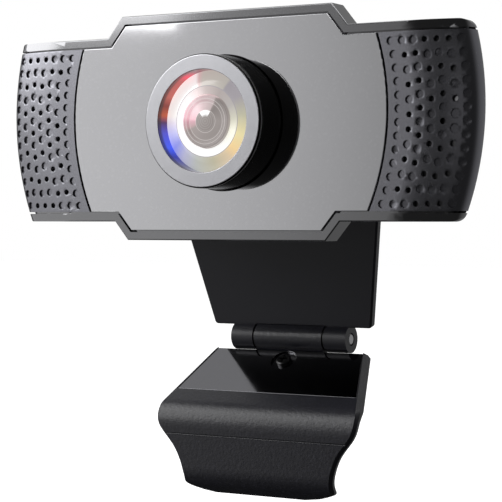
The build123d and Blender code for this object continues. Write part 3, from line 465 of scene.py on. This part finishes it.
# pieces that differ from the rest of their slot
ownFinishes = {
    "front_element": glassPaintedReflections("glassPaintedReflections"),
    "leaf_screw": metal("darkScrew", tone=0.06, rough=0.3),
}
# the lens cell and its retainer take the same painted reflections and glow as the front glass
lensFace = glassPaintedReflections("lensFace")
for nodeName in ("lens_cell", "cell_retainer"):
    ownFinishes[nodeName] = lensFace
slotOf = {entry["node"]: entry["material_slot"] for entry in frame["record"]["subparts"]}
for nodeName, node in nodes.items():
    node.data.materials.clear()
    node.data.materials.append(ownFinishes.get(nodeName, finishes[slotOf[nodeName]]))
print("finishes made", len(finishes))


# Moulded copies: a copy of a CAD piece with merged faces, rounded edges and clean shading;
# angles in degrees, lengths in metres
moulding = {"segments": 3, "angle": 32.0, "weld": 0.000004, "flatAngle": 0.03, "flatWeight": 90}


def rounded(nodeName, width):
    angle = math.radians(moulding["angle"])
    source = nodes[nodeName]
    body = source["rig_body"]
    piece = source.copy()
    piece.data = source.data.copy()
    piece.name = "moulded_" + nodeName
    piece.parent = None
    bpy.context.scene.collection.objects.link(piece)
    mesh = bmesh.new()
    mesh.from_mesh(piece.data)
    bmesh.ops.remove_doubles(mesh, verts=mesh.verts, dist=moulding["weld"])
    flat = math.radians(moulding["flatAngle"])
    bmesh.ops.dissolve_limit(mesh, angle_limit=flat, verts=mesh.verts, edges=mesh.edges)
    mesh.to_mesh(piece.data)
    mesh.free()
    bpy.ops.object.select_all(action="DESELECT")
    piece.select_set(True)
    bpy.context.view_layer.objects.active = piece
    if width:
        bevel = piece.modifiers.new("edge", "BEVEL")
        bevel.width = width
        bevel.segments = moulding["segments"]
        bevel.limit_method = "ANGLE"
        bevel.angle_limit = angle
        bevel.harden_normals = False
        bpy.ops.object.modifier_apply(modifier="edge")
    bpy.ops.object.shade_smooth_by_angle(angle=angle)
    flatten = piece.modifiers.new("flat", "WEIGHTED_NORMAL")
    flatten.mode = "FACE_AREA"
    flatten.weight = moulding["flatWeight"]
    flatten.keep_sharp = True
    bpy.ops.object.modifier_apply(modifier="flat")
    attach(piece, body)
    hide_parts(nodeName)
    return piece


# how wide each piece's edges are rounded
edgeWidths = {
    "front_frame": 0.00022, "front_plate": 0.00012, "grille_left": 0.0001, "grille_right": 0.0001,
    "lens_barrel": 0.00012, "focus_ring": 0.00012, "trim_cone": 0.00008, "lens_cell": 0.00006,
    "cell_retainer": 0.00005, "front_element": 0.0, "rear_housing": 0.0003, "tilt_bracket": 0.0003,
    "tilt_pin": 0.00008, "clip_arm": 0.00025, "arm_cover": 0.0002, "clip_leaf": 0.00025,
    "leaf_top_plate": 0.00012, "cable_grommet": 0.0002, "hinge_pin": 0.00008, "rest_pad": 0.00015,
    "chin_pad": 0.00015,
}
for nodeName, width in edgeWidths.items():
    piece = rounded(nodeName, width)
    print("moulded", nodeName, len(piece.data.polygons))

# Studio: a paper floor, two panels, a sky with soft boxes, and the camera; metres, degrees and watts,
# the lens and its sensor in millimetres
studio = {
    "floorDrop": 0.045, "floorSize": 6.0, "paper": 0.86, "paperGlow": 0.75,
    "panelShine": 0.06, "skyFloor": 0.05, "skyShown": 1.0,
    "cameraPlace": (0.1679, -0.302, 0.0322), "turn": 30.0, "dip": 1.02, "lens": 127.1, "sensor": 36.0,
    "nearest": 0.01,
}
floorZ = cadBounds[0][2] - studio["floorDrop"]
bpy.ops.object.select_all(action="DESELECT")
bpy.ops.mesh.primitive_plane_add(size=studio["floorSize"], location=(0, 0, floorZ))
floor = bpy.context.object
floor.name = "floor"
paper = Finish("paper")
fibres = paper.noise(scale=40.0, detail=5.0)
paperTone = paper.mix(fibres, grey(studio["paper"] * 0.985), grey(studio["paper"]))
floor.data.materials.append(paper.shade(
    baseColor=paperTone, roughness=0.8, emissionColor=paperTone, emissionStrength=studio["paperGlow"]))
floor.visible_diffuse = False
floor.visible_glossy = False

# place, width, height and power of each panel
panels = {
    "keyPanel": ((-0.75, -0.6, 0.55), 0.8, 0.8, 7.0),
    "topPanel": ((0.05, -0.15, 1.0), 0.9, 0.6, 5.0),
}
middle = (0, plateY, lensZ)
for name, (place, width, height, power) in panels.items():
    light = bpy.data.lights.new(name, "AREA")
    light.shape = "RECTANGLE"
    light.size = width
    light.size_y = height
    light.energy = power
    light.specular_factor = studio["panelShine"]
    lamp = bpy.data.objects.new(name, light)
    bpy.context.scene.collection.objects.link(lamp)
    lamp.location = place
    lamp.rotation_euler = (Vector(middle) - Vector(place)).to_track_quat("-Z", "Y").to_euler()

# soft boxes of the sky: direction, cosine of the angle up to which it is full, cosine of the angle
# where it ends, strength
softBoxes = {
    "leftWall": ((-0.9, -0.44, 0.07), 0.899, 0.675, 0.95),
    "ceiling": ((-0.35, 0.1, 0.93), 0.97, 0.6, 0.75),
    "slit": ((0.07, -0.99, 0.05), 0.9995, 0.9965, 0.9),
    "backFill": ((0.5, 0.8, 0.3), 0.95, 0.2, 0.35),
}

world = bpy.data.worlds.new("studioSky")
bpy.context.scene.world = world
world.use_nodes = True
sky = Graph(world.node_tree)
ray = sky.node("ShaderNodeTexCoord", out="Generated")
glow = studio["skyFloor"]
for name, (aim, full, end, strength) in softBoxes.items():
    away = Vector(aim).normalized()
    pair = {0: ray, 1: tuple(away)}
    facing = sky.node("ShaderNodeVectorMath", {"operation": "DOT_PRODUCT"}, pair, out="Value")
    glow = glow + facing.step(end, full) * strength
lit = sky.node("ShaderNodeBackground", values={"Color": (1, 1, 1), "Strength": glow})
shown = sky.node("ShaderNodeBackground", values={"Color": (1, 1, 1), "Strength": studio["skyShown"]})
cameraRay = sky.node("ShaderNodeLightPath", out="Is Camera Ray")
chosen = sky.node("ShaderNodeMixShader", values={0: cameraRay, 1: lit, 2: shown})
sky.tree.links.new(chosen.socket, world.node_tree.nodes["World Output"].inputs[0])

camera = bpy.data.objects.new("camera", bpy.data.cameras.new("camera"))
camera.data.lens = studio["lens"]
camera.data.sensor_width = studio["sensor"]
camera.data.clip_start = studio["nearest"]
camera.location = studio["cameraPlace"]
camera.rotation_euler = (math.radians(90 - studio["dip"]), 0, math.radians(studio["turn"]))
bpy.context.scene.collection.objects.link(camera)
bpy.context.scene.camera = camera
bpy.context.scene.view_settings.view_transform = "Standard"
print("studio ready")
